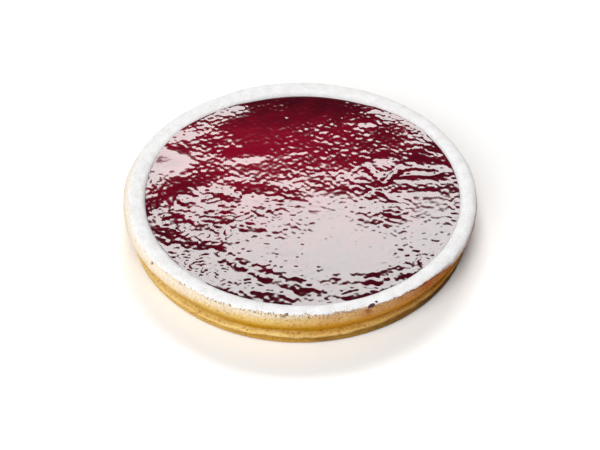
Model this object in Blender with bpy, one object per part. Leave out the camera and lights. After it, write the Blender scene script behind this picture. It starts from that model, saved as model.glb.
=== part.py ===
"""A round baked cheesecake in a pastry case, with a disc of fruit jelly set into its top.

Metres, +Z up. The origin is the middle of the flat base, so the cake stands on Z = 0.
Two solids are built: the cake, whose pastry rim rises round a shallow recess, and the jelly that
fills the recess to just below the rim. Each is a profile turned round the axis and then made
gently uneven, as hand-pressed pastry and poured jelly are.
"""

import math

import bmesh
import bpy
from mathutils import Vector

# Driving dimensions of the cake.
BASE_RADIUS = 0.1199
RIM_RADIUS = 0.1237
CAKE_HEIGHT = 0.0283
# Driving dimensions of the jelly. It sits a little to one side of the cake's middle.
JELLY_RADIUS = 0.1103
JELLY_LEVEL = 0.0256
JELLY_DEPTH = 0.0040
JELLY_SHIFT = 0.0018
# The clearance that separate pieces keep.
GAP = 0.0003

# The pastry wall: a foot with a rounded lower edge, a narrow ledge, a crease and a rounded rim.
FOOT_EDGE = 0.0028
LEDGE_OUT = 0.0006
LEDGE_ROUND = 0.0015
LEDGE_TOP = 0.0084
CREASE_HEIGHT = 0.0106
CREASE_DEPTH = 0.0020
LEDGE_TURN = 78
# The wall above the crease: each height, and how far out from crease to rim the wall has come there.
BELLY = ((0.0140, 0.2), (0.0186, 0.7))
RIM_ROUND = 0.0052
RIM_TURN = (-8, 84)
RIM_CROWN = 0.0005
LIP_ROUND = 0.0016

# How finely the solids are faceted.
TURN_STEPS = 72
ARC_STEPS = 4
JELLY_RINGS = 14

# Slow waves round the cake: how many go round it, how far they move the wall, and their phase.
WALL_WAVES = ((2, 0.00022, 0.4), (3, 0.00034, 2.1), (5, 0.00022, 4.4), (8, 0.00014, 1.0))
LEDGE_WAVES = ((3, 0.00045, 5.2), (7, 0.00035, 0.7), (11, 0.00022, 3.3))
LEDGE_LIFT = 0.8
LEDGE_LIFT_PHASE = 1.0
CREST_WAVES = ((3, 0.00020, 1.5), (4, 0.00015, 3.9), (9, 0.00010, 0.2))

# Slow swells of the poured jelly: direction in degrees, wavelength and height.
JELLY_SWELLS = ((20, 0.070, 0.00024), (75, 0.052, 0.00020), (132, 0.043, 0.00016), (168, 0.090, 0.00022))
JELLY_STILL_EDGE = 0.012


def clear_scene():
    """Removes whatever the scene holds."""
    for obj in list(bpy.data.objects):
        bpy.data.objects.remove(obj)


def baked_material(name, colour, roughness, coat=0.0):
    """A Principled material of one colour, linear RGB."""
    material = bpy.data.materials.new(name)
    material.use_nodes = True
    shader = material.node_tree.nodes["Principled BSDF"]
    shader.inputs["Base Color"].default_value = (*colour, 1.0)
    shader.inputs["Roughness"].default_value = roughness
    shader.inputs["Metallic"].default_value = 0.0
    shader.inputs["Coat Weight"].default_value = coat
    return material


def arc(centre_r, centre_z, radius, start_deg, end_deg, steps=ARC_STEPS):
    """Points (r, z) along an arc, both ends included."""
    points = []
    for i in range(steps + 1):
        angle = math.radians(start_deg + (end_deg - start_deg) * i / steps)
        points.append((centre_r + radius * math.cos(angle), centre_z + radius * math.sin(angle)))
    return points


def waves(angle, table):
    """The sum of the waves in a table of (count, height, phase) at an angle round the axis."""
    return sum(height * math.cos(count * angle + phase) for count, height, phase in table)


def smooth_share(value, low, high):
    """0 below low, 1 above high and a smooth change between them."""
    share = min(1.0, max(0.0, (value - low) / (high - low)))
    return share * share * (3.0 - 2.0 * share)


def cake_profile():
    """The cake's outline (r, z), from the middle of its base, up its wall, over its rim and back in."""
    recess_floor = JELLY_LEVEL - JELLY_DEPTH - GAP
    recess_radius = JELLY_RADIUS + GAP
    ledge_radius = BASE_RADIUS + LEDGE_OUT
    crest = CAKE_HEIGHT - RIM_CROWN
    rim_centre = (RIM_RADIUS - RIM_ROUND, crest - RIM_ROUND)
    points = [(0.0, 0.0)]
    points += arc(BASE_RADIUS - FOOT_EDGE, FOOT_EDGE, FOOT_EDGE, -90, 0)
    points += arc(ledge_radius - LEDGE_ROUND, LEDGE_TOP - LEDGE_ROUND, LEDGE_ROUND, 0, LEDGE_TURN)
    crease_radius = ledge_radius - CREASE_DEPTH
    points.append((crease_radius, CREASE_HEIGHT))
    for height, share in BELLY:
        points.append((crease_radius + share * (RIM_RADIUS - crease_radius), height))
    points += arc(*rim_centre, RIM_ROUND, *RIM_TURN, ARC_STEPS + 2)
    points.append(((rim_centre[0] + recess_radius + LIP_ROUND) / 2, CAKE_HEIGHT))
    points += arc(recess_radius + LIP_ROUND, crest - LIP_ROUND, LIP_ROUND, 90, 180)
    points.append((recess_radius, recess_floor))
    points.append((0.0, recess_floor))
    return points


def jelly_profile():
    """The jelly's outline (r, z), from the middle of its underside, out, up and back over its top."""
    underside = JELLY_LEVEL - JELLY_DEPTH
    points = [(0.0, underside), (JELLY_RADIUS, underside), (JELLY_RADIUS, JELLY_LEVEL)]
    for ring in range(JELLY_RINGS - 1, -1, -1):
        points.append((JELLY_RADIUS * ring / JELLY_RINGS, JELLY_LEVEL))
    return points


def turned(name, profile):
    """A closed body made by turning a profile (r, z) once round the Z axis."""
    body = bmesh.new()
    verts = [body.verts.new((r, 0.0, z)) for r, z in profile]
    edges = [body.edges.new(pair) for pair in zip(verts, verts[1:])]
    bmesh.ops.spin(
        body,
        geom=verts + edges,
        cent=(0.0, 0.0, 0.0),
        axis=(0.0, 0.0, 1.0),
        angle=math.tau,
        steps=TURN_STEPS,
    )
    bmesh.ops.remove_doubles(body, verts=body.verts, dist=0.00001)
    bmesh.ops.recalc_face_normals(body, faces=body.faces)
    mesh = bpy.data.meshes.new(name)
    body.to_mesh(mesh)
    body.free()
    return mesh


def make_wall_uneven(mesh):
    """Moves the cake's wall, ledge and crest by their waves. The base stays flat, the recess round."""
    for vertex in mesh.vertices:
        x, y, z = vertex.co
        radius = math.hypot(x, y)
        if radius < BASE_RADIUS / 2:
            continue
        angle = math.atan2(y, x)
        outward = smooth_share(radius, JELLY_RADIUS + LIP_ROUND, RIM_RADIUS - RIM_ROUND)
        raised = smooth_share(z, 0.0, LEDGE_TOP)
        near_ledge = raised * (1.0 - smooth_share(z, CREASE_HEIGHT, CAKE_HEIGHT))
        near_top = smooth_share(z, CREASE_HEIGHT, CAKE_HEIGHT - RIM_ROUND)
        new_radius = radius + outward * waves(angle, WALL_WAVES)
        new_radius += outward * near_ledge * waves(angle, LEDGE_WAVES)
        new_z = z + outward * near_top * waves(angle, CREST_WAVES)
        new_z += outward * near_ledge * LEDGE_LIFT * waves(angle + LEDGE_LIFT_PHASE, LEDGE_WAVES)
        shift = JELLY_SHIFT * (1.0 - outward)
        vertex.co = Vector((new_radius * math.cos(angle) + shift, new_radius * math.sin(angle), new_z))


def make_jelly_swell(mesh):
    """Raises and lowers the jelly's top in slow swells that die out at its edge."""
    underside = JELLY_LEVEL - JELLY_DEPTH
    for vertex in mesh.vertices:
        x, y, z = vertex.co
        if z > underside + GAP:
            free = smooth_share(JELLY_RADIUS - math.hypot(x, y), 0.0, JELLY_STILL_EDGE)
            for direction, length, height in JELLY_SWELLS:
                along = x * math.cos(math.radians(direction)) + y * math.sin(math.radians(direction))
                z += free * height * math.sin(math.tau * along / length + direction)
        vertex.co = Vector((x + JELLY_SHIFT, y, z))


def place(name, mesh, material):
    """Adds a mesh to the scene as a named, smoothly shaded object."""
    mesh.materials.append(material)
    mesh.shade_smooth()
    mesh.set_sharp_from_angle(angle=math.radians(50))
    obj = bpy.data.objects.new(name, mesh)
    bpy.context.scene.collection.objects.link(obj)
    return obj


def build():
    clear_scene()
    pastry = baked_material("golden_pastry", (0.62, 0.37, 0.13), 0.75)
    jelly = baked_material("red_fruit_jelly", (0.22, 0.005, 0.02), 0.08, coat=1.0)
    cake_mesh = turned("cake", cake_profile())
    make_wall_uneven(cake_mesh)
    place("cake", cake_mesh, pastry)
    jelly_mesh = turned("fruit_jelly", jelly_profile())
    make_jelly_swell(jelly_mesh)
    place("fruit_jelly", jelly_mesh, jelly)


build()
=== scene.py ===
"""A round baked cheesecake in a pastry case, with a sugared rim and a disc of red fruit jelly on top.

Metres, +Z up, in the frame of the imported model. The pastry and the jelly are modelled round the sizes
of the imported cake, and the icing sugar and the crumbs are strewn on the pastry.
"""

import math

import bpy
from mathutils import Matrix, Quaternion, Vector, noise


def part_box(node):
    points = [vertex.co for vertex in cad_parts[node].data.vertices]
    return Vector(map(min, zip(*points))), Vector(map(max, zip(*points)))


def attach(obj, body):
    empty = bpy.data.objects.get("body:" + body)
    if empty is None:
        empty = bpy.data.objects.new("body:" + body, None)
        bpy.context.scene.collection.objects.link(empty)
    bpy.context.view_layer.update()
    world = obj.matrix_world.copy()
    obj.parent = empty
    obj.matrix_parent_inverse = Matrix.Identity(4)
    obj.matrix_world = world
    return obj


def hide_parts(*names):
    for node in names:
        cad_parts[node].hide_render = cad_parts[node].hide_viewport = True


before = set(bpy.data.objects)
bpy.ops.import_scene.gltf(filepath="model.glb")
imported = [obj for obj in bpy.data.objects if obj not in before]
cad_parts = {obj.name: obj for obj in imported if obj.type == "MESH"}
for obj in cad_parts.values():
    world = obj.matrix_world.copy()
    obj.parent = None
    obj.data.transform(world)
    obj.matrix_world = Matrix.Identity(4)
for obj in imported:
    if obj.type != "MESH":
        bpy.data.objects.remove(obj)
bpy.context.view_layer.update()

MM = 0.001

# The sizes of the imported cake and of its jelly, whose axis is a little to one side of the cake's.
cake_low, cake_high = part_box("cake")
jelly_low, jelly_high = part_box("fruit_jelly")
CAKE_HEIGHT = cake_high.z
RIM_RADIUS = (cake_high.x - cake_low.x + cake_high.y - cake_low.y) / 4
JELLY_RADIUS = (jelly_high.x - jelly_low.x) / 2
JELLY_CENTRE = (jelly_high.x + jelly_low.x) / 2
JELLY_AXIS = Vector((JELLY_CENTRE, 0))
JELLY_UNDERSIDE = jelly_low.z
JELLY_LEVEL = 25.6 * MM
# The crown of the rim: its height, how far in from the rim's radius it starts, and how far down a step
# outwards over it counts as.
CROWN_HEIGHT = 28.2 * MM
CROWN_WIDTH = 6.0 * MM
CROWN_SLOPE = 0.45

# The pastry's rings in the order they are drawn out: distance out from the rim's radius, height, and the
# share of the jelly's sideways shift that the ring takes. All in millimetres but the last.
UNDERSIDE_RINGS = ((-84.0, 0.0, 0.0), (-20.0, 0.0, 0.0), (-7.6, 0.0, 0.0))
FOOT_RINGS = ((-4.7, 0.1, 0.0), (-3.6, 1.6, 0.0), (-3.5, 4.4, 0.0), (-3.2, 6.6, 0.0))
LEDGE_RINGS = ((-2.9, 7.9, 0.0), (-3.6, 8.9, 0.0), (-4.9, 9.5, 0.0))
CREASE_RINGS = ((-5.5, 10.5, 0.0), (-5.3, 12.2, 0.0), (-4.2, 14.8, 0.0))
BELLY_RINGS = ((-2.4, 17.6, 0.0), (-0.7, 20.4, 0.0), (0.15, 22.8, 0.0))
RIM_RINGS = ((0.0, 24.8, 0.0), (-1.0, 26.6, 0.0), (-2.8, 27.9, 0.1), (-5.4, 28.2, 0.4), (-8.4, 28.1, 0.7))
LIP_RINGS = ((-10.9, 27.7, 1.0), (-12.5, 26.6, 1.0), (-13.2, 25.0, 1.0), (-13.3, 22.4, 1.0))
RECESS_RINGS = ((-13.5, 21.2, 1.0), (-60.0, 21.2, 1.0))
# How many points each ring has, and how often the pastry is subdivided.
PASTRY_SEGMENTS = 216
PASTRY_LEVELS = 2

# Pairs such as BACK_STRETCH say where a share starts to grow and where it is whole. Where the first of
# them is the larger, the share grows as the place's value falls.

# How far the rim is pressed in at the back, and where that grows: along Y, out from the jelly's axis, in
# from outside the rim, and up the wall.
BACK_PRESS = 3.0 * MM
BACK_STRETCH = (60 * MM, 104 * MM)
BACK_INSIDE = (JELLY_RADIUS - 30 * MM, JELLY_RADIUS - 1 * MM)
BACK_OUTSIDE = (JELLY_RADIUS + 11 * MM, JELLY_RADIUS + 2 * MM)
BACK_LIP = (12 * MM, 21 * MM)
# How far the ledge rises on the right and drops on the left, where along X, and where in height the ledge
# starts above the foot and below the wall.
LEDGE_RISE = 1.6 * MM
LEDGE_DROP = 1.3 * MM
LEDGE_RIGHT = (20 * MM, 60 * MM)
LEDGE_LEFT = (-40 * MM, -70 * MM)
LEDGE_FROM_FOOT = (3 * MM, 8 * MM)
LEDGE_FROM_WALL = (14 * MM, 10 * MM)
# Where the wall starts above the flat base and out from the axis, and where the skin starts above the base.
WALL_UP = (0.5 * MM, 5 * MM)
WALL_OUT = (110 * MM, 115 * MM)
SKIN_UP = (0.2 * MM, 3 * MM)
# The pastry's unevenness, from slow waves and folds to its crumb: the size of the marks and their height
# in millimetres, the group they work in, their direction, how they are drawn out, their turn in degrees,
# and how much finer detail they hold.
PASTRY_RELIEF = (
    (60, 1.2, "wall", "NORMAL", (1, 1, 1), 0, 1),
    (40, 2.4, "ledge", "Z", (1, 1, 1), 0, 2),
    (16, 0.8, "wall", "NORMAL", (1, 1, 0.22), 0, 1),
    (9, 0.35, "wall", "NORMAL", (1, 1, 0.2), 0, 1),
    (3.4, 0.36, "skin", "NORMAL", (1, 1, 1), 0, 3),
)


def linear(hex_colour):
    """An sRGB hex colour as a linear RGBA list."""
    channels = [int(hex_colour[i : i + 2], 16) / 255 for i in (1, 3, 5)]
    return [c / 12.92 if c <= 0.04045 else ((c + 0.055) / 1.055) ** 2.4 for c in channels] + [1.0]


def per_metre(millimetres):
    """The scale of a pattern whose marks are this many millimetres apart."""
    return 1000 / millimetres


def smooth_share(value, low, high):
    """0 below low, 1 above high and a smooth change between them. High may be the smaller."""
    share = min(1.0, max(0.0, (value - low) / (high - low)))
    return share * share * (3 - 2 * share)


# ---- modelling tools ----


def choose(obj):
    """Makes an object the only one selected, and the active one."""
    bpy.ops.object.select_all(action="DESELECT")
    obj.select_set(True)
    bpy.context.view_layer.objects.active = obj


def select_points(obj, test):
    """In edit mode afterwards, with the points selected whose place passes the test."""
    bpy.ops.object.mode_set(mode="EDIT")
    bpy.ops.mesh.select_mode(type="VERT")
    bpy.ops.mesh.select_all(action="DESELECT")
    bpy.ops.object.mode_set(mode="OBJECT")
    for vertex in obj.data.vertices:
        vertex.select = test(vertex.co)
    bpy.ops.object.mode_set(mode="EDIT")


def weigh(obj, name, rule):
    """Gives an object a vertex group whose weight at each point is the rule's answer for its place."""
    group = obj.vertex_groups.new(name=name)
    for vertex in obj.data.vertices:
        weight = rule(vertex.co)
        if weight > 0:
            group.add([vertex.index], weight, "REPLACE")


def mark(obj, name, rule):
    """Writes the rule's answer for each point's place into an attribute that a material can read."""
    attribute = obj.data.attributes.new(name, "FLOAT", "POINT")
    attribute.data.foreach_set("value", [rule(vertex.co) for vertex in obj.data.vertices])


def select_outline(obj):
    """In edit mode afterwards, with the points on the outline of an open sheet selected."""
    choose(obj)
    bpy.ops.object.mode_set(mode="EDIT")
    bpy.ops.mesh.select_all(action="DESELECT")
    bpy.ops.mesh.select_non_manifold()


def lift_points(obj, test, lift, falloff, reach):
    """Lifts the points whose place passes the test, and those around them less and less over the reach."""
    select_points(obj, test)
    bpy.ops.transform.translate(
        value=(0, 0, lift),
        use_proportional_edit=True,
        proportional_edit_falloff=falloff,
        proportional_size=reach,
    )
    bpy.ops.object.mode_set(mode="OBJECT")


def turn_faces_out():
    """Makes all faces of the body in edit mode face outwards, and leaves edit mode."""
    bpy.ops.mesh.select_all(action="SELECT")
    bpy.ops.mesh.normals_make_consistent(inside=False)
    bpy.ops.object.mode_set(mode="OBJECT")


def smooth_out(obj, levels):
    """Subdivides an object's surface and rounds it."""
    modifier = obj.modifiers.new("rounding", "SUBSURF")
    modifier.levels = modifier.render_levels = levels
    choose(obj)
    bpy.ops.object.modifier_apply(modifier=modifier.name)


def roughen(obj, size, height, group="", direction="NORMAL", stretch=(1, 1, 1), turn=0, detail=0, **tone):
    """Raises and lowers a surface by a cloudy pattern whose marks are size apart and height high, in
    millimetres. The marks are drawn out by the stretch, and turned round Z by this many degrees."""
    texture = bpy.data.textures.new("relief", "CLOUDS")
    texture.noise_scale = 1.0
    texture.noise_depth = detail
    for setting, value in tone.items():
        setattr(texture, setting, value)
    bpy.ops.object.empty_add(location=(0, 0, 0))
    guide = bpy.context.object
    guide.scale = Vector(stretch) * (size * MM)
    guide.rotation_euler = (0, 0, math.radians(turn))
    bpy.context.view_layer.update()
    modifier = obj.modifiers.new("relief", "DISPLACE")
    modifier.texture = texture
    modifier.texture_coords = "OBJECT"
    modifier.texture_coords_object = guide
    modifier.direction = direction
    modifier.mid_level = 0.5
    modifier.strength = height * MM
    modifier.vertex_group = group
    choose(obj)
    bpy.ops.object.modifier_apply(modifier=modifier.name)
    bpy.data.objects.remove(guide)
    bpy.data.textures.remove(texture)


def push(obj, height, group="", direction="NORMAL"):
    """Moves a surface outwards, or along an axis, by a height times the group's weight."""
    modifier = obj.modifiers.new("offset", "DISPLACE")
    modifier.direction = direction
    modifier.mid_level = 0.0
    modifier.strength = height
    modifier.vertex_group = group
    choose(obj)
    bpy.ops.object.modifier_apply(modifier=modifier.name)


def finish_piece(obj, material):
    """Gives a finished piece its material and its place in the frame."""
    obj.data.materials.clear()
    obj.data.materials.append(material)
    choose(obj)
    bpy.ops.object.shade_smooth()
    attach(obj, "root")


def add_node(tree, kind, inputs=None, stops=None, **settings):
    """Adds a node with its settings, and fills its inputs with values or with other nodes' outputs."""
    node = tree.nodes.new(kind)
    for setting, value in settings.items():
        setattr(node, setting, value)
    for socket, value in (inputs or {}).items():
        if isinstance(value, bpy.types.NodeSocket):
            tree.links.new(value, node.inputs[socket])
        else:
            node.inputs[socket].default_value = value
    for place, colour in stops or ():
        used = place > stops[0][0]
        stop = node.color_ramp.elements.new(place) if used else node.color_ramp.elements[0]
        stop.position = place
        stop.color = linear(colour)
    if stops:
        node.color_ramp.elements.remove(node.color_ramp.elements[-1])
    return node


def begin_material(name):
    """A new material, its nodes, its shader and the places on the object that its patterns lie by."""
    material = bpy.data.materials.new(name)
    material.use_nodes = True
    tree = material.node_tree
    place = add_node(tree, "ShaderNodeTexCoord").outputs["Object"]
    return material, tree, tree.nodes["Principled BSDF"], place


# ---- pastry ----


def turned_pastry():
    """The pastry case and cake as one body, drawn out ring by ring as on a wheel."""
    rings = (
        *UNDERSIDE_RINGS,
        *FOOT_RINGS,
        *LEDGE_RINGS,
        *CREASE_RINGS,
        *BELLY_RINGS,
        *RIM_RINGS,
        *LIP_RINGS,
        *RECESS_RINGS,
    )
    first_radius = RIM_RADIUS + rings[0][0] * MM
    bpy.ops.mesh.primitive_circle_add(vertices=PASTRY_SEGMENTS, radius=first_radius)
    pastry = bpy.context.object
    pastry.name = "pastry"
    bpy.ops.object.mode_set(mode="EDIT")
    bpy.ops.mesh.select_all(action="SELECT")
    for (out, height, shift), (next_out, next_height, next_shift) in zip(rings, rings[1:]):
        centre = (JELLY_CENTRE * next_shift, 0, next_height * MM)
        step = (JELLY_CENTRE * (next_shift - shift), 0, (next_height - height) * MM)
        growth = (RIM_RADIUS + next_out * MM) / (RIM_RADIUS + out * MM)
        bpy.ops.mesh.extrude_region_move(TRANSFORM_OT_translate={"value": step})
        bpy.ops.transform.resize(value=(growth, growth, 1), center_override=centre)
    bpy.ops.object.mode_set(mode="OBJECT")
    smooth_out(pastry, PASTRY_LEVELS)
    bpy.ops.object.mode_set(mode="EDIT")
    bpy.ops.mesh.select_all(action="SELECT")
    bpy.ops.mesh.fill_holes(sides=0)
    turn_faces_out()
    mark(pastry, "height", lambda p: p.z)
    return pastry


def from_jelly_axis(place):
    """How far a place is from the jelly's axis."""
    return (place.xy - JELLY_AXIS).length


def back_share(place):
    """How much a place shares in the stretch at the back where the rim was pressed in against the jelly."""
    from_axis = from_jelly_axis(place)
    near_rim = smooth_share(from_axis, *BACK_INSIDE) * smooth_share(from_axis, *BACK_OUTSIDE)
    return near_rim * smooth_share(place.y, *BACK_STRETCH)


def ledge_share(place):
    """How fully a place moves with the ledge: wholly on it, fading out down the foot and up the wall."""
    return smooth_share(place.z, *LEDGE_FROM_FOOT) * smooth_share(place.z, *LEDGE_FROM_WALL)


def knead_pastry(pastry):
    """The unevenness of hand-pressed, baked pastry: its pressed back, its ledge, and all its relief."""
    weigh(pastry, "back_lip", lambda p: back_share(p) * smooth_share(p.z, *BACK_LIP))
    push(pastry, -BACK_PRESS, "back_lip", "Y")
    weigh(pastry, "wall", lambda p: smooth_share(p.z, *WALL_UP) * smooth_share(p.xy.length, *WALL_OUT))
    weigh(pastry, "ledge", ledge_share)
    weigh(pastry, "ledge_right", lambda p: ledge_share(p) * smooth_share(p.x, *LEDGE_RIGHT))
    weigh(pastry, "ledge_left", lambda p: ledge_share(p) * smooth_share(p.x, *LEDGE_LEFT))
    weigh(pastry, "skin", lambda p: smooth_share(p.z, *SKIN_UP))
    push(pastry, LEDGE_RISE, "ledge_right", "Z")
    push(pastry, -LEDGE_DROP, "ledge_left", "Z")
    for relief in PASTRY_RELIEF:
        roughen(pastry, *relief)


def below_crown(place):
    """How far a place lies down the rim's outer side, 0 on its crown and on all that lies further in."""
    out = max(0, place.xy.length - RIM_RADIUS + CROWN_WIDTH)
    return (CROWN_HEIGHT - place.z + CROWN_SLOPE * out) if out > 0 else 0


# The crust's tones from its foot, at 0, to the top of its rim, at 1: golden ones, and darker, browner ones
# for the painted shade of the right-hand side. Both paint a highlight on the ledge's upper face, at about
# 0.27, and shade in the crease above it, at about 0.39, and the browner ones paint the right-hand foot dark
# with shade. Their strong yellow is partly painted warm bounce light.
GOLDEN_TONES = (
    (0.0, "#AC8034"),
    (0.11, "#C49A46"),
    (0.20, "#A67C2C"),
    (0.27, "#EACC84"),
    (0.39, "#AC7C0A"),
    (0.54, "#C89422"),
    (0.72, "#D0A644"),
    (0.92, "#DABE82"),
)
SHADED_SIDE_TONES = (
    (0.0, "#3A1C04"),
    (0.12, "#5C3208"),
    (0.21, "#4C2806"),
    (0.28, "#C08838"),
    (0.39, "#AE6A14"),
    (0.56, "#C0780C"),
    (0.76, "#BC6E0E"),
    (0.90, "#A0562C"),
)
# The painted light that makes the left-hand side paler, and the tones of the juice stains and of the dusting.
LIT_SIDE_TONE = "#DEBE78"
JUICE_TONE = "#6A2A1E"
DUST_TONE = "#EDEBEA"
# Where along X the crust turns paler with painted light and browner with painted shade, and how far up and
# down its tones wander.
LIT_SIDE = (-35 * MM, -90 * MM)
SHADED_SIDE = (-30 * MM, 95 * MM)
TONE_WANDER = 0.9 * MM


def crust_material():
    """Shortcrust pastry, pressed into a ring and baked golden: matt, crumbly and cracked along its folds.
    It is painted paler with light on the left and browner with shade on the right, with a painted highlight
    on its ledge and painted shade in its crease, and the sifted sugar thins out on it in single grains."""
    material, tree, shader, place = begin_material("baked_shortcrust")
    axes = add_node(tree, "ShaderNodeSeparateXYZ", {"Vector": place})
    cloudy = add_node(tree, "ShaderNodeTexNoise", {"Vector": place, "Scale": per_metre(16), "Detail": 4.0})
    layered = add_node(tree, "ShaderNodeMapping", {"Vector": place, "Scale": (1, 1, 5)})
    streaks = add_node(
        tree,
        "ShaderNodeTexNoise",
        {"Vector": layered.outputs[0], "Scale": per_metre(9), "Detail": 5.0},
    )
    crumb = add_node(
        tree,
        "ShaderNodeTexNoise",
        {"Vector": place, "Scale": per_metre(1.6), "Detail": 5.0, "Roughness": 0.65},
    )
    wander = add_node(
        tree,
        "ShaderNodeMapRange",
        {
            "Value": streaks.outputs["Fac"],
            "From Min": 0.3,
            "From Max": 0.7,
            "To Min": -TONE_WANDER,
            "To Max": TONE_WANDER,
        },
    )
    rise = add_node(tree, "ShaderNodeAttribute", attribute_name="height")
    height = add_node(tree, "ShaderNodeMath", {0: rise.outputs["Fac"], 1: wander.outputs["Result"]})
    share = add_node(tree, "ShaderNodeMath", {0: height.outputs[0], 1: CAKE_HEIGHT}, operation="DIVIDE")
    # The tone ramps paint a highlight on the ledge, shade in the crease and, on the right, shade on the foot.
    golden = add_node(tree, "ShaderNodeValToRGB", {"Fac": share.outputs[0]}, GOLDEN_TONES)
    shaded_tones = add_node(tree, "ShaderNodeValToRGB", {"Fac": share.outputs[0]}, SHADED_SIDE_TONES)
    # Painted light: the left-hand side is made paler, as if lit more strongly.
    lit_share = add_node(
        tree,
        "ShaderNodeMapRange",
        {
            "Value": axes.outputs["X"],
            "From Min": LIT_SIDE[0],
            "From Max": LIT_SIDE[1],
            "To Min": 0.0,
            "To Max": 0.65,
        },
    )
    lit_paint = add_node(
        tree,
        "ShaderNodeMix",
        {"Factor": lit_share.outputs["Result"], "A": golden.outputs["Color"], "B": linear(LIT_SIDE_TONE)},
        data_type="RGBA",
    )
    # Painted shade: the right-hand side is mixed towards the darker, browner tones.
    shaded_share = add_node(
        tree,
        "ShaderNodeMapRange",
        {
            "Value": axes.outputs["X"],
            "From Min": SHADED_SIDE[0],
            "From Max": SHADED_SIDE[1],
            "To Min": -0.1,
            "To Max": 0.9,
        },
    )
    uneven = add_node(
        tree,
        "ShaderNodeMath",
        {0: cloudy.outputs["Fac"], 1: 0.9, 2: -0.4},
        operation="MULTIPLY_ADD",
    )
    side_shade_mix = add_node(
        tree,
        "ShaderNodeMath",
        {0: shaded_share.outputs["Result"], 1: uneven.outputs[0]},
        use_clamp=True,
    )
    crust = add_node(
        tree,
        "ShaderNodeMix",
        {"Factor": side_shade_mix.outputs[0], "A": lit_paint.outputs["Result"], "B": shaded_tones.outputs["Color"]},
        data_type="RGBA",
    )
    speckle = add_node(
        tree,
        "ShaderNodeValToRGB",
        {"Fac": crumb.outputs["Fac"]},
        stops=((0.34, "#C4A488"), (0.43, "#F2ECE6"), (0.52, "#FFFFFF")),
    )
    flecked = add_node(
        tree,
        "ShaderNodeMix",
        {"Factor": 1.0, "A": crust.outputs["Result"], "B": speckle.outputs["Color"]},
        data_type="RGBA",
        blend_type="MULTIPLY",
    )
    juice = add_node(tree, "ShaderNodeAttribute", attribute_name="juice")
    stained = add_node(
        tree,
        "ShaderNodeMix",
        {"Factor": juice.outputs["Fac"], "A": flecked.outputs["Result"], "B": linear(JUICE_TONE)},
        data_type="RGBA",
    )
    dusting = add_node(tree, "ShaderNodeAttribute", attribute_name="dusting")
    powder = add_node(
        tree,
        "ShaderNodeTexNoise",
        {"Vector": place, "Scale": per_metre(0.9), "Detail": 3.0, "Roughness": 0.6},
    )
    grains = add_node(tree, "ShaderNodeMath", {0: powder.outputs["Fac"], 1: dusting.outputs["Fac"]})
    strewn = add_node(
        tree,
        "ShaderNodeMapRange",
        {"Value": grains.outputs[0], "From Min": 0.62, "From Max": 1.4, "To Min": 0.0, "To Max": 1.0},
    )
    dusted = add_node(
        tree,
        "ShaderNodeMix",
        {"Factor": strewn.outputs["Result"], "A": stained.outputs["Result"], "B": linear(DUST_TONE)},
        data_type="RGBA",
    )
    relief = add_node(
        tree,
        "ShaderNodeBump",
        {"Height": crumb.outputs["Fac"], "Strength": 0.6, "Distance": 0.5 * MM},
    )
    tree.links.new(dusted.outputs["Result"], shader.inputs["Base Color"])
    tree.links.new(relief.outputs["Normal"], shader.inputs["Normal"])
    shader.inputs["Roughness"].default_value = 0.85
    shader.inputs["IOR"].default_value = 1.35
    shader.inputs["Specular IOR Level"].default_value = 0.1
    return material


# ---- icing sugar ----


# How far down the rim's outer side the thick sugar reaches: in front and on the left, on the right, on
# the far right and at the back, and between which places it changes.
THICK_REACH = 1.1 * MM
THICK_REACH_RIGHT = 2.6 * MM
THICK_REACH_FAR_RIGHT = 4.4 * MM
THICK_REACH_BACK = 4.2 * MM
THICK_RIGHT = (20 * MM, 95 * MM)
THICK_FAR_RIGHT = (88 * MM, 106 * MM)
THICK_BACK = (15 * MM, 75 * MM)
# The edge of the thick sugar wanders in bays, with nicks in them: how deep and how wide they are. The
# sugar thins out by this much to either side of its edge.
BAY_DEPTH = 0.7 * MM
BAY_SIZE = 5 * MM
NICK_DEPTH = 0.5 * MM
NICK_SIZE = 1.7 * MM
THINNING = 0.6 * MM
# How far down the thin dusting reaches: in front, on the left, on the right and on the far right, and
# between which places it changes.
DUST_REACH = 8.6 * MM
DUST_REACH_LEFT = 18 * MM
DUST_REACH_RIGHT = 2.8 * MM
DUST_REACH_FAR_RIGHT = 8.0 * MM
DUST_LEFT = (-50 * MM, -115 * MM)
DUST_RIGHT = (-75 * MM, 40 * MM)
DUST_FAR_RIGHT = (82 * MM, 106 * MM)
# How thick the dusting is at the edge of the thick sugar, how much thicker at both sides, and how much of
# it is missing in a band just under that edge in front: the band's middle, its width and its place in Y.
DUST_AT_EDGE = 0.62
DUST_MORE_LEFT = 0.07
DUST_MORE_FAR_RIGHT = 0.2
BARE_SHARE = 0.3
BARE_MIDDLE = 0.6 * MM
BARE_WIDTH = (1.0 * MM, 0.2 * MM)
BARE_FRONT = (-66 * MM, -92 * MM)


def thick_edge(place):
    """How far down the rim the thick sugar reaches near a place, with a wandering edge."""
    reach = THICK_REACH + (THICK_REACH_RIGHT - THICK_REACH) * smooth_share(place.x, *THICK_RIGHT)
    reach += (THICK_REACH_FAR_RIGHT - THICK_REACH_RIGHT) * smooth_share(place.x, *THICK_FAR_RIGHT)
    reach += (THICK_REACH_BACK - reach) * smooth_share(place.y, *THICK_BACK)
    return reach + BAY_DEPTH * noise.noise(place / BAY_SIZE) + NICK_DEPTH * noise.noise(place / NICK_SIZE)


def sugar_share(place):
    """How much of the thick sugar lies at a place."""
    edge = thick_edge(place)
    return smooth_share(below_crown(place), edge + THINNING, edge - THINNING)


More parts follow.
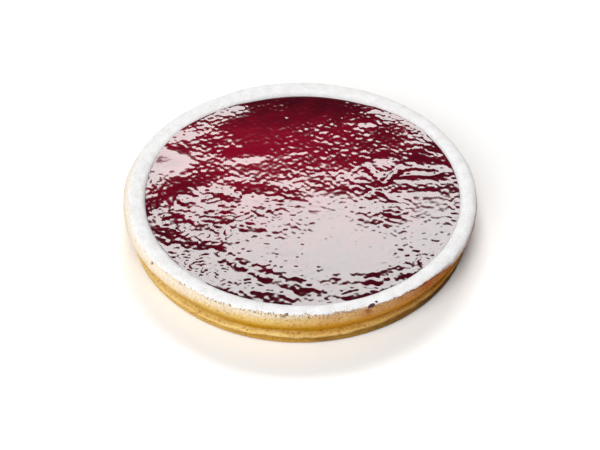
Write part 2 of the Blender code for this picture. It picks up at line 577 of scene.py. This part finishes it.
def dusting_share(place):
    """How much of the thin dusting lies at a place, thinning out evenly down the rim's outer side."""
    left = smooth_share(place.x, *DUST_LEFT)
    right = smooth_share(place.x, *DUST_RIGHT)
    far_right = smooth_share(place.x, *DUST_FAR_RIGHT)
    end = DUST_REACH + (DUST_REACH_RIGHT - DUST_REACH) * right + (DUST_REACH_LEFT - DUST_REACH) * left
    end += (DUST_REACH_FAR_RIGHT - DUST_REACH_RIGHT) * far_right
    start = thick_edge(place)
    depth = below_crown(place)
    if depth < start:
        return 1
    bare = BARE_SHARE * smooth_share(place.y, *BARE_FRONT)
    bare *= smooth_share(abs(depth - start - BARE_MIDDLE), *BARE_WIDTH)
    thickest = DUST_AT_EDGE + DUST_MORE_LEFT * left + DUST_MORE_FAR_RIGHT * far_right
    return (1 - bare) * thickest * min(1, max(0, (end - depth) / max(MM, end - start)))


# Where a fruit bit bled on the crust, from the frame's origin, how far the stain spreads, over which share
# of that it is whole, and how strong it is.
STAIN = Vector((42.8, -115.5, 26.1)) * MM
STAIN_REACH = 3.2 * MM
STAIN_CORE = 0.3
STAIN_SHARE = 0.5
# The thin line of juice under the sugar: how strong it is, how far down it reaches, where along X it
# starts, and at which values a noise of this size breaks it.
JUICE_SHARE = 0.85
JUICE_DEPTH = (1.5 * MM, 0.4 * MM)
JUICE_START = (8 * MM, 34 * MM)
JUICE_BREAKS = (-0.5, 0.3)
JUICE_BREAK_SIZE = 6 * MM


def juice_share(place):
    """How strongly fruit juice stains the crust: in a thin line under the sugar at right, and in a spot."""
    under_sugar = below_crown(place) - thick_edge(place)
    line = JUICE_SHARE * smooth_share(under_sugar, *JUICE_DEPTH) * smooth_share(place.x, *JUICE_START)
    line *= smooth_share(noise.noise(place / JUICE_BREAK_SIZE), *JUICE_BREAKS)
    spot = smooth_share((place - STAIN).length, STAIN_REACH, STAIN_CORE * STAIN_REACH)
    return max(line, STAIN_SHARE * spot)


def sugar_material():
    """Icing sugar, sifted on thickly: a dead white powder that lies in soft grains and small lumps."""
    material, tree, shader, place = begin_material("sifted_icing_sugar")
    grain = add_node(
        tree,
        "ShaderNodeTexNoise",
        {"Vector": place, "Scale": per_metre(0.9), "Detail": 4.0, "Roughness": 0.6},
    )
    drifts = add_node(tree, "ShaderNodeTexNoise", {"Vector": place, "Scale": per_metre(7), "Detail": 2.0})
    both = add_node(
        tree,
        "ShaderNodeMath",
        {0: drifts.outputs["Fac"], 1: 0.5, 2: grain.outputs["Fac"]},
        operation="MULTIPLY_ADD",
    )
    tone = add_node(
        tree,
        "ShaderNodeValToRGB",
        {"Fac": both.outputs[0]},
        ((0.55, "#D9D6D2"), (0.75, "#E6E5E5"), (0.95, "#EEEEF0")),
    )
    relief = add_node(
        tree,
        "ShaderNodeBump",
        {"Height": grain.outputs["Fac"], "Strength": 0.5, "Distance": 0.4 * MM},
    )
    tree.links.new(tone.outputs["Color"], shader.inputs["Base Color"])
    tree.links.new(relief.outputs["Normal"], shader.inputs["Normal"])
    shader.inputs["Roughness"].default_value = 0.95
    shader.inputs["IOR"].default_value = 1.45
    return material


# The coat of thick sugar: the height above which the rim's skin is copied for it, how far that skin sinks
# everywhere and rises where it is covered, the size and height of its lumps in millimetres, and how thick
# its body is.
COAT_BOTTOM = 22 * MM
COAT_SINK = 0.25 * MM
COAT_RISE = 0.7 * MM
COAT_LUMP_SIZE = 2.4
COAT_LUMP_HEIGHT = 0.25
COAT_BODY = 0.5 * MM


def sugar_coat(pastry):
    """The thick sugar on the rim: a copy of the rim's skin, raised and closed to a thin body."""
    choose(pastry)
    bpy.ops.object.duplicate()
    coat = bpy.context.object
    coat.name = "icing_sugar"
    select_points(coat, lambda p: p.z < COAT_BOTTOM)
    bpy.ops.mesh.delete(type="VERT")
    bpy.ops.object.mode_set(mode="OBJECT")
    weigh(coat, "covered", sugar_share)
    push(coat, -COAT_SINK)
    push(coat, COAT_RISE, "covered")
    roughen(coat, COAT_LUMP_SIZE, COAT_LUMP_HEIGHT, detail=2)
    shell = coat.modifiers.new("body", "SOLIDIFY")
    shell.thickness = COAT_BODY
    shell.offset = -1.0
    choose(coat)
    bpy.ops.object.modifier_apply(modifier=shell.name)
    return coat


def strew(surface, name, rule, per_square_metre, smallest, largest, seed):
    """Strews small lumps over a surface, as closely as the rule says at each place, as one mesh."""
    bpy.ops.mesh.primitive_ico_sphere_add(subdivisions=1, radius=1.0)
    lump = bpy.context.object
    choose(surface)
    bpy.ops.object.duplicate()
    strewn = bpy.context.object
    strewn.name = name
    mark(strewn, "closeness", rule)
    tree = bpy.data.node_groups.new("strewing", "GeometryNodeTree")
    tree.interface.new_socket("Surface", in_out="INPUT", socket_type="NodeSocketGeometry")
    tree.interface.new_socket("Lumps", in_out="OUTPUT", socket_type="NodeSocketGeometry")
    ground = add_node(tree, "NodeGroupInput")
    closeness = add_node(tree, "GeometryNodeInputNamedAttribute", {"Name": "closeness"}, data_type="FLOAT")
    density = add_node(
        tree,
        "ShaderNodeMath",
        {0: closeness.outputs["Attribute"], 1: per_square_metre},
        operation="MULTIPLY",
    )
    points = add_node(
        tree,
        "GeometryNodeDistributePointsOnFaces",
        {"Mesh": ground.outputs[0], "Density": density.outputs[0], "Seed": seed},
    )
    shape = add_node(tree, "GeometryNodeObjectInfo", {"Object": lump})
    turn = add_node(
        tree,
        "FunctionNodeRandomValue",
        {0: (0, 0, 0), 1: (math.tau, math.tau, math.tau), "Seed": seed},
        data_type="FLOAT_VECTOR",
    )
    girth = add_node(
        tree,
        "FunctionNodeRandomValue",
        {0: (smallest,) * 3, 1: (largest,) * 3, "Seed": seed + 1},
        data_type="FLOAT_VECTOR",
    )
    lumps = add_node(
        tree,
        "GeometryNodeInstanceOnPoints",
        {
            "Points": points.outputs["Points"],
            "Instance": shape.outputs["Geometry"],
            "Rotation": turn.outputs[0],
            "Scale": girth.outputs[0],
        },
    )
    solid = add_node(tree, "GeometryNodeRealizeInstances", {"Geometry": lumps.outputs[0]})
    add_node(tree, "NodeGroupOutput", {0: solid.outputs[0]})
    modifier = strewn.modifiers.new("strewing", "NODES")
    modifier.node_group = tree
    choose(strewn)
    bpy.ops.object.modifier_apply(modifier=modifier.name)
    bpy.data.objects.remove(lump)
    return strewn


# Loose sugar grains: how many lie on a fully dusted square metre, their smallest and largest radius, the
# seed of their strewing, how closely they lie on the thick sugar, and the height up to which the recess
# holds none.
GRAINS_PER_SQUARE_METRE = 500_000
GRAIN_SIZES = (0.12 * MM, 0.34 * MM)
GRAIN_SEED = 3
GRAINS_ON_COAT = 0.35
RECESS_TOP = 22.5 * MM
# Toasted crumbs: the same, and where along X their row starts on the right and on the left and where its
# thinner part ends, how thin that is, how far below the crown the row lies, how wide it is, and the
# height below which there are none.
CRUMBS_PER_SQUARE_METRE = 700_000
CRUMB_SIZES = (0.25 * MM, 0.6 * MM)
CRUMB_SEED = 8
CRUMBS_RIGHT = (44 * MM, 26 * MM)
CRUMBS_LEFT = (-90 * MM, -70 * MM)
CRUMBS_THINNER = (-46 * MM, -34 * MM)
THINNER_SHARE = 0.4
CRUMB_ROW = 1.4 * MM
CRUMB_ROW_WIDTH = (1.3 * MM, 0.3 * MM)
CRUMB_ROW_BOTTOM = 24 * MM


def grain_share(place):
    """How closely loose sugar grains lie: all over the rim's top, and thinning out where it is dusted."""
    under_jelly = place.z < RECESS_TOP and place.xy.length < RIM_RADIUS - CROWN_WIDTH
    return 0 if under_jelly else max(GRAINS_ON_COAT * sugar_share(place), dusting_share(place))


def crumb_share(place):
    """How closely toasted crumbs lie: in a row along the front of the rim, thinner towards the left."""
    along = smooth_share(place.x, *CRUMBS_RIGHT) * smooth_share(place.x, *CRUMBS_LEFT)
    along *= THINNER_SHARE + (1 - THINNER_SHARE) * smooth_share(place.x, *CRUMBS_THINNER)
    row = smooth_share(abs(below_crown(place) - CRUMB_ROW), *CRUMB_ROW_WIDTH)
    return row * along if place.y < 0 and place.z > CRUMB_ROW_BOTTOM else 0


def patchy_material(name, patch, tones, roughness):
    """A dull stuff with patches of other tones on it, this many millimetres across."""
    material, tree, shader, place = begin_material(name)
    patchy = add_node(tree, "ShaderNodeTexNoise", {"Vector": place, "Scale": per_metre(patch), "Detail": 2.0})
    tone = add_node(tree, "ShaderNodeValToRGB", {"Fac": patchy.outputs["Fac"]}, tones)
    tree.links.new(tone.outputs["Color"], shader.inputs["Base Color"])
    shader.inputs["Roughness"].default_value = roughness
    shader.inputs["IOR"].default_value = 1.4
    return material


CRUMB_TONES = ((0.36, "#5E4632"), (0.48, "#8C7256"), (0.60, "#B4A086"))
FRUIT_SKIN_TONES = ((0.38, "#34260E"), (0.50, "#3E2418"), (0.62, "#5A3238"))
# Single bits that lie on the rim: place x, y, z, length along the rim, width and height, in millimetres,
# and how far the bit is turned on the rim, in degrees.
FRUIT_BITS = (
    (44.4, -112.3, 27.7, 5.2, 2.3, 1.1, 14),
    (47.8, -109.3, 27.9, 1.6, 1.9, 0.8, 0),
)
CRUST_FLAKES = (
    (-9.4, -120.0, 27.3, 5.0, 1.7, 0.9, 34),
    (5.4, -121.2, 27.0, 2.2, 1.3, 0.7, 0),
    (-96.1, -75.1, 27.2, 2.1, 1.6, 0.9, -30),
)
# How far above the pastry the middle of a bit lies, because it rests on sugar, and how uneven the bits
# are, in millimetres.
SUGAR_DEPTH = 0.45 * MM
BIT_LUMP_SIZE = 1.1
BIT_LUMP_HEIGHT = 0.6


def lay_bits(surface, name, bits):
    """Lays single bits on a surface, each nearest to its own place, as one mesh."""
    laid = []
    for x, y, z, length, width, height, turn in bits:
        spot, up = surface.closest_point_on_mesh(Vector((x, y, z)) * MM)[1:3]
        middle = spot + SUGAR_DEPTH * up
        bpy.ops.mesh.primitive_ico_sphere_add(subdivisions=3, radius=0.5, location=middle)
        bit = bpy.context.object
        bit.scale = Vector((length, width, height)) * MM
        along = Vector((-y, x, 0)).normalized()
        lie = Matrix((along, up.cross(along), up)).transposed().to_quaternion()
        bit.rotation_euler = (lie @ Quaternion((0, 0, 1), math.radians(turn))).to_euler()
        bpy.ops.object.transform_apply()
        roughen(bit, BIT_LUMP_SIZE, BIT_LUMP_HEIGHT, detail=1)
        laid.append(bit)
    for bit in laid:
        bit.select_set(True)
    bpy.ops.object.join()
    laid[-1].name = name
    return laid[-1]


# ---- jelly ----


# The sheet starts as this many squares each way. It is rounded in two goes, by this many levels, and
# pushed out to a circle and evened out before each.
JELLY_CELLS = 9
JELLY_LEVELS = (2, 3)
EVENING_ROUNDS = 40
# The strokes in the jelly, from its middle: start x, start y, end x, end y, how far the stroke reaches
# to its sides, and how high it stands. All in millimetres. Grooves have a negative height.
STROKES = (
    (-112, 38, -92, 36, 17, 0.70),
    (-107, -36, -84, -8, 17, 0.66),
    (-84, -8, -60, 7, 15, 0.38),
    (-46, -3, -10, -11, 11, 0.32),
    (-52, 34, -34, 36, 10, 0.30),
    (-98, -34, -60, -52, 16, -0.78),
    (-66, -27, -50, -29, 9, -0.46),
    (-92, -18, -74, -22, 7, -0.34),
    (-60, -3, -46, -10, 6, -0.30),
    (-78, -17, -44, -14, 12, 0.20),
    (-40, -39, -28, -39, 6, -0.28),
    (-60, -60, -40, -76, 6, 0.20),
    (-40, -76, -24, -84, 7, 0.28),
    (-24, -85, 0, -96, 8, 0.42),
    (-6, -90, 14, -98, 5, 0.24),
    (-30, -96, -8, -103, 6, 0.28),
    (22, -86, 46, -88, 6, 0.28),
    (46, -88, 74, -78, 7, 0.36),
    (28, -102, 46, -97, 5, 0.24),
    (82, 28, 103, 24, 8, 0.30),
    (74, 18, 92, 17, 4, 0.20),
    (68, 9, 98, 9, 4.5, 0.24),
    (66, -4, 94, -4, 4.5, 0.20),
    (44, 74, 52, 74, 6, 0.36),
    (14, 24, 42, 24, 24, 0.24),
    (12, -4, 44, -7, 18, 0.18),
    (57, 32, 62, 32, 8, 0.56),
    (46, 24, 57, 6, 4, -0.42),
    (71, 21, 57, 6, 4, -0.42),
    (46, -9, 54, -3, 3.5, -0.26),
    (54, -3, 62, -12, 3.5, -0.30),
    (59, -25, 65, -27, 4.5, -0.42),
)
# Where the jelly climbs up the rim: from and to which angle, in degrees from the X axis, and how far in
# from the rim the climb starts and how high it goes, in millimetres.
CLIMBS = (
    (146, 158, 36, 1.5),
    (117, 150, 21, 1.1),
    (35, 60, 17, 0.95),
    (157, 173, 12, 0.5),
    (-164, -140, 12, 0.6),
)
# The jelly's relief, as in PASTRY_RELIEF: slow waves, then chop in one place, wrinkles that run two ways
# and cross, and small dimples, which are sharper than the rest.
JELLY_WAVES = (17, 0.36, "wrinkled", "Z")
JELLY_WRINKLES = (
    (4.4, 0.16, "choppy", "Z", (1.8, 1, 1), -24),
    (3.2, 0.13, "wrinkled", "Z", (2, 1, 1), 38),
    (3.2, 0.13, "wrinkled", "Z", (2, 1, 1), -34),
)
JELLY_DIMPLES = (3.1, 0.09, "wrinkled", "Z", (0.8, 1, 1), 13)
DIMPLE_CONTRAST = 2.4
DIMPLE_BRIGHTNESS = 0.45
# Where the jelly is choppier than elsewhere, from the frame's origin, how far that reaches, and over which
# share of that it is whole.
CHOPPY = Vector((-64, -24, 25.6)) * MM
CHOPPY_REACH = 44 * MM
CHOPPY_CORE = 0.4
# How near to its line a stroke moves the jelly wholly, and how near to the rim the jelly's very edge lies.
STROKE_CORE = 0.6 * MM
JELLY_EDGE = 0.3 * MM
# Where the wrinkles start, inwards from the rim.
WRINKLE_START = (-1 * MM, 3 * MM)
# How far the jelly's skin dips at its very edge, over which width, and from which angle between faces, in
# degrees, an edge looks sharp.
EDGE_DIP = 0.06 * MM
EDGE_DIP_REACH = 1.8 * MM
SHARP_ANGLE = 50
# Places where the jelly is smooth: x, y, how far the calm reaches in millimetres, and how calm it is. Over
# this share of its reach it is at its calmest.
CALM_CORE = 0.5
CALM_POOLS = (
    (-34, 72, 30, 0.6),
    (8, 108, 40, 0.6),
    (-12, 44, 36, 0.3),
    (32, -58, 36, 0.6),
    (-28, 16, 26, 0.3),
    (-36, 36, 26, 0.3),
    (18, -20, 28, 0.6),
    (-8, -48, 24, 0.25),
    (-36, -58, 22, 0.25),
    (90, -16, 20, 0.6),
    (84, -40, 30, 0.35),
    (-92, 28, 20, 0.75),
)


def jelly_disc():
    """A flat round sheet of even squares: a grid whose outline is pushed out to a circle."""
    bpy.ops.mesh.primitive_grid_add(
        x_subdivisions=JELLY_CELLS, y_subdivisions=JELLY_CELLS, size=2 * JELLY_RADIUS
    )
    jelly = bpy.context.object
    jelly.name = "fruit_jelly_top"
    for levels in JELLY_LEVELS:
        select_outline(jelly)
        bpy.ops.transform.tosphere(value=1.0)
        bpy.ops.mesh.select_all(action="INVERT")
        bpy.ops.mesh.vertices_smooth(factor=0.5, repeat=EVENING_ROUNDS)
        bpy.ops.object.mode_set(mode="OBJECT")
        smooth_out(jelly, levels)
    reach = max(vertex.co.xy.length for vertex in jelly.data.vertices)
    jelly.scale = (JELLY_RADIUS / reach, JELLY_RADIUS / reach, 1)
    jelly.location = (JELLY_CENTRE, 0, JELLY_LEVEL)
    bpy.ops.object.transform_apply(location=True, rotation=False, scale=True)
    return jelly


def from_line(place, start, end):
    """How far a place is from the straight line between two points, seen from above."""
    along = end - start
    share = (place - start).dot(along) / along.length_squared
    return (place - start - along * min(1.0, max(0.0, share))).length


def press_jelly(jelly, start_x, start_y, end_x, end_y, reach, lift):
    """Lifts the jelly along a stroke, or presses it where the lift is negative, fading out over the reach."""
    start = Vector((start_x, start_y)) * MM + JELLY_AXIS
    end = Vector((end_x, end_y)) * MM + JELLY_AXIS

    def on_line(place):
        return from_line(place.xy, start, end) < STROKE_CORE

    lift_points(jelly, on_line, lift * MM, "SMOOTH", reach * MM)


def on_jelly_edge(place):
    """Whether a place lies at the jelly's very edge."""
    return from_jelly_axis(place) > JELLY_RADIUS - JELLY_EDGE


def raise_rim_side(jelly, from_angle, to_angle, reach, lift):
    """Lifts the jelly's edge along a stretch of the rim, and the jelly inside it less and less."""
    first = math.radians(from_angle)
    last = math.radians(to_angle)

    def on_stretch(place):
        out = place.xy - JELLY_AXIS
        return on_jelly_edge(place) and first < math.atan2(out.y, out.x) < last

    lift_points(jelly, on_stretch, lift * MM, "SHARP", reach * MM)


def wrinkled_share(place):
    """How strongly the jelly is wrinkled at a place: less in its calm pools, and little at its very edge."""
    share = smooth_share(JELLY_RADIUS - from_jelly_axis(place), *WRINKLE_START)
    for x, y, reach, calm in CALM_POOLS:
        distance = (place.xy - Vector((x, y)) * MM).length
        share *= 1 - calm * smooth_share(distance, reach * MM, CALM_CORE * reach * MM)
    return share


def choppy_share(place):
    """How strongly the jelly is chopped up at a place, round the one spot where it is."""
    return smooth_share((place - CHOPPY).length, CHOPPY_REACH, CHOPPY_CORE * CHOPPY_REACH)


def ripple_jelly(jelly):
    """The surface of jelly spread with a palette knife as it set: long strokes with fine wrinkles on them."""
    for stroke in STROKES:
        press_jelly(jelly, *stroke)
    for climb in CLIMBS:
        raise_rim_side(jelly, *climb)
    weigh(jelly, "wrinkled", wrinkled_share)
    roughen(jelly, *JELLY_WAVES)
    weigh(jelly, "choppy", choppy_share)
    for wrinkles in JELLY_WRINKLES:
        roughen(jelly, *wrinkles)
    roughen(jelly, *JELLY_DIMPLES, contrast=DIMPLE_CONTRAST, intensity=DIMPLE_BRIGHTNESS)


def round_jelly_edge(jelly):
    """Lets the jelly's skin dip at its very edge, where it drew back from the pastry as it set."""
    lift_points(jelly, on_jelly_edge, -EDGE_DIP, "SHARP", EDGE_DIP_REACH)
    weigh(jelly, "back_edge", back_share)
    push(jelly, -BACK_PRESS, "back_edge", "Y")


def close_jelly(jelly):
    """Draws the sheet's edge down to the jelly's underside and closes it there."""
    select_outline(jelly)
    depth = JELLY_LEVEL - JELLY_UNDERSIDE
    bpy.ops.mesh.extrude_region_move(TRANSFORM_OT_translate={"value": (0, 0, -depth)})
    bpy.ops.transform.resize(value=(1, 1, 0), center_override=(0, 0, JELLY_UNDERSIDE))
    bpy.ops.mesh.extrude_region_move()
    bpy.ops.mesh.merge(type="CENTER")
    turn_faces_out()


# The jelly's tones, from its painted brightest place outwards into painted shade.
JELLY_TONES = (
    (0.12, "#7E0220"),
    (0.35, "#6E021B"),
    (0.55, "#5C0117"),
    (0.75, "#4A0111"),
    (0.95, "#3E010E"),
)
# How far the painted light and shade change over one jelly radius along X and along Y, and the shift that
# puts their bright start to the left and behind the middle.
TONE_PACE_X = 0.6
TONE_PACE_Y = 0.75
TONE_SHIFT = (0.136, -0.307, 0)
# Where along Y the jelly darkens with painted shade of the rim towards its back, at least to which tone, and
# how far the tones wander.
SHADED_BACK = (45 * MM, 100 * MM)
SHADED_BACK_TONE = 0.85
JELLY_TONE_WANDER = 0.17


def jelly_material():
    """Set fruit jelly: deep red and wet, as smooth as glass. Its colour holds painted light, brightest behind
    the middle, and painted shade, darker in uneven clouds towards its edge and most at the back by the rim."""
    material, tree, shader, place = begin_material("set_fruit_jelly")
    across = 1 / JELLY_RADIUS
    # Painted light and shade: the tones are brightest left of and behind the middle, and darker further out.
    middle = add_node(
        tree,
        "ShaderNodeMapping",
        {"Vector": place, "Location": TONE_SHIFT, "Scale": (TONE_PACE_X * across, TONE_PACE_Y * across, 0)},
    )
    out = add_node(tree, "ShaderNodeVectorMath", {0: middle.outputs[0]}, operation="LENGTH")
    axes = add_node(tree, "ShaderNodeSeparateXYZ", {"Vector": place})
    # Painted shade: darker towards the back, where the rim shades the jelly.
    back = add_node(
        tree,
        "ShaderNodeMapRange",
        {
            "Value": axes.outputs["Y"],
            "From Min": SHADED_BACK[0],
            "From Max": SHADED_BACK[1],
            "To Min": 0.0,
            "To Max": SHADED_BACK_TONE,
        },
    )
    painted_jelly_shade = add_node(
        tree,
        "ShaderNodeMath",
        {0: out.outputs["Value"], 1: back.outputs["Result"]},
        operation="MAXIMUM",
    )
    cloudy = add_node(tree, "ShaderNodeTexNoise", {"Vector": place, "Scale": per_metre(14), "Detail": 6.0})
    wander = add_node(
        tree,
        "ShaderNodeMapRange",
        {
            "Value": cloudy.outputs["Fac"],
            "From Min": 0.3,
            "From Max": 0.7,
            "To Min": -JELLY_TONE_WANDER,
            "To Max": JELLY_TONE_WANDER,
        },
    )
    depth = add_node(tree, "ShaderNodeMath", {0: painted_jelly_shade.outputs[0], 1: wander.outputs["Result"]})
    tone = add_node(tree, "ShaderNodeValToRGB", {"Fac": depth.outputs[0]}, JELLY_TONES)
    tree.links.new(tone.outputs["Color"], shader.inputs["Base Color"])
    shader.inputs["Roughness"].default_value = 0.075
    shader.inputs["IOR"].default_value = 1.43
    return material


# ---- studio ----


# The camera looks from in front at this elevation and distance, at a point under the cake's middle.
VIEW_ELEVATION = 44.0
VIEW_DISTANCE = 0.7414
VIEW_TARGET = Vector((0, 0, -10.5 * MM))
LENS = 61.0
# The soft lights: name, azimuth and elevation in degrees, distance, width and height in metres, and power
# in watts. The jelly mirrors the softbox behind the cake, whose spill softens the mirrored edge.
SOFT_LIGHTS = (
    ("back_softbox", 3, 49.0, 1.6, 0.86, 0.33, 12.0),
    ("back_softbox_spill", 4, 49.0, 1.62, 1.0, 0.44, 2.6),
    ("top_light", 190, 66, 1.6, 0.9, 0.7, 11.5),
    ("front_fill", 213, 30, 1.6, 1.2, 1.2, 17.5),
)
FLOOR_SIZE = 24.0


def direction(azimuth, elevation):
    """A unit vector towards an azimuth, clockwise from +Y, and an elevation above the floor, in degrees."""
    around = math.radians(azimuth)
    up = math.radians(elevation)
    return Vector((math.sin(around) * math.cos(up), math.cos(around) * math.cos(up), math.sin(up)))


def add_softbox(name, azimuth, elevation, distance, width, height, watts):
    """A rectangular soft light that hangs in a direction from the cake and faces it."""
    towards = direction(azimuth, elevation)
    bpy.ops.object.light_add(type="AREA", location=towards * distance)
    lamp = bpy.context.object
    lamp.name = name
    lamp.rotation_euler = towards.to_track_quat("Z", "Y").to_euler()
    lamp.data.shape = "RECTANGLE"
    lamp.data.size = width
    lamp.data.size_y = height
    lamp.data.energy = watts


def add_studio():
    """A pale floor, a softbox and its spill behind the cake, a top light, a front fill, and the camera."""
    bpy.ops.mesh.primitive_plane_add(size=FLOOR_SIZE)
    floor = bpy.context.object
    floor.name = "floor"
    paint = bpy.data.materials.new("pale_floor")
    paint.use_nodes = True
    shader = paint.node_tree.nodes["Principled BSDF"]
    shader.inputs["Base Color"].default_value = linear("#FDFDFC")
    shader.inputs["Roughness"].default_value = 0.9
    floor.data.materials.append(paint)
    for light in SOFT_LIGHTS:
        add_softbox(*light)
    world = bpy.data.worlds.new("studio")
    world.use_nodes = True
    background = world.node_tree.nodes["Background"]
    background.inputs["Color"].default_value = linear("#FFFFFF")
    background.inputs["Strength"].default_value = 0.05
    bpy.context.scene.world = world
    bpy.context.scene.view_settings.view_transform = "Standard"
    back = direction(180, VIEW_ELEVATION)
    bpy.ops.object.camera_add(location=VIEW_TARGET + back * VIEW_DISTANCE)
    camera = bpy.context.object
    camera.rotation_euler = back.to_track_quat("Z", "Y").to_euler()
    camera.data.lens = LENS
    bpy.context.scene.camera = camera


pastry = turned_pastry()
knead_pastry(pastry)
mark(pastry, "dusting", dusting_share)
mark(pastry, "juice", juice_share)
finish_piece(pastry, crust_material())
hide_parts("cake")

sugar = sugar_coat(pastry)
icing = sugar_material()
finish_piece(sugar, icing)

grains = strew(pastry, "sugar_grains", grain_share, GRAINS_PER_SQUARE_METRE, *GRAIN_SIZES, GRAIN_SEED)
finish_piece(grains, icing)

# Crumbs and flakes of well-baked shortcrust: matt brown, some nearly burnt.
toasted = patchy_material("toasted_crumbs", 2, CRUMB_TONES, 0.85)
crumbs = strew(pastry, "toasted_crumbs", crumb_share, CRUMBS_PER_SQUARE_METRE, *CRUMB_SIZES, CRUMB_SEED)
finish_piece(crumbs, toasted)
flakes = lay_bits(pastry, "crust_flakes", CRUST_FLAKES)
finish_piece(flakes, toasted)

# Bits of fruit skin baked on the rim: dark, leathery and a little moist.
fruit_skin = patchy_material("baked_fruit_skin", 1.5, FRUIT_SKIN_TONES, 0.55)
fruit_bits = lay_bits(pastry, "fruit_bits", FRUIT_BITS)
finish_piece(fruit_bits, fruit_skin)

jelly = jelly_disc()
ripple_jelly(jelly)
round_jelly_edge(jelly)
close_jelly(jelly)
finish_piece(jelly, jelly_material())
bpy.ops.object.shade_smooth_by_angle(angle=math.radians(SHARP_ANGLE))
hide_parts("fruit_jelly")

add_studio()
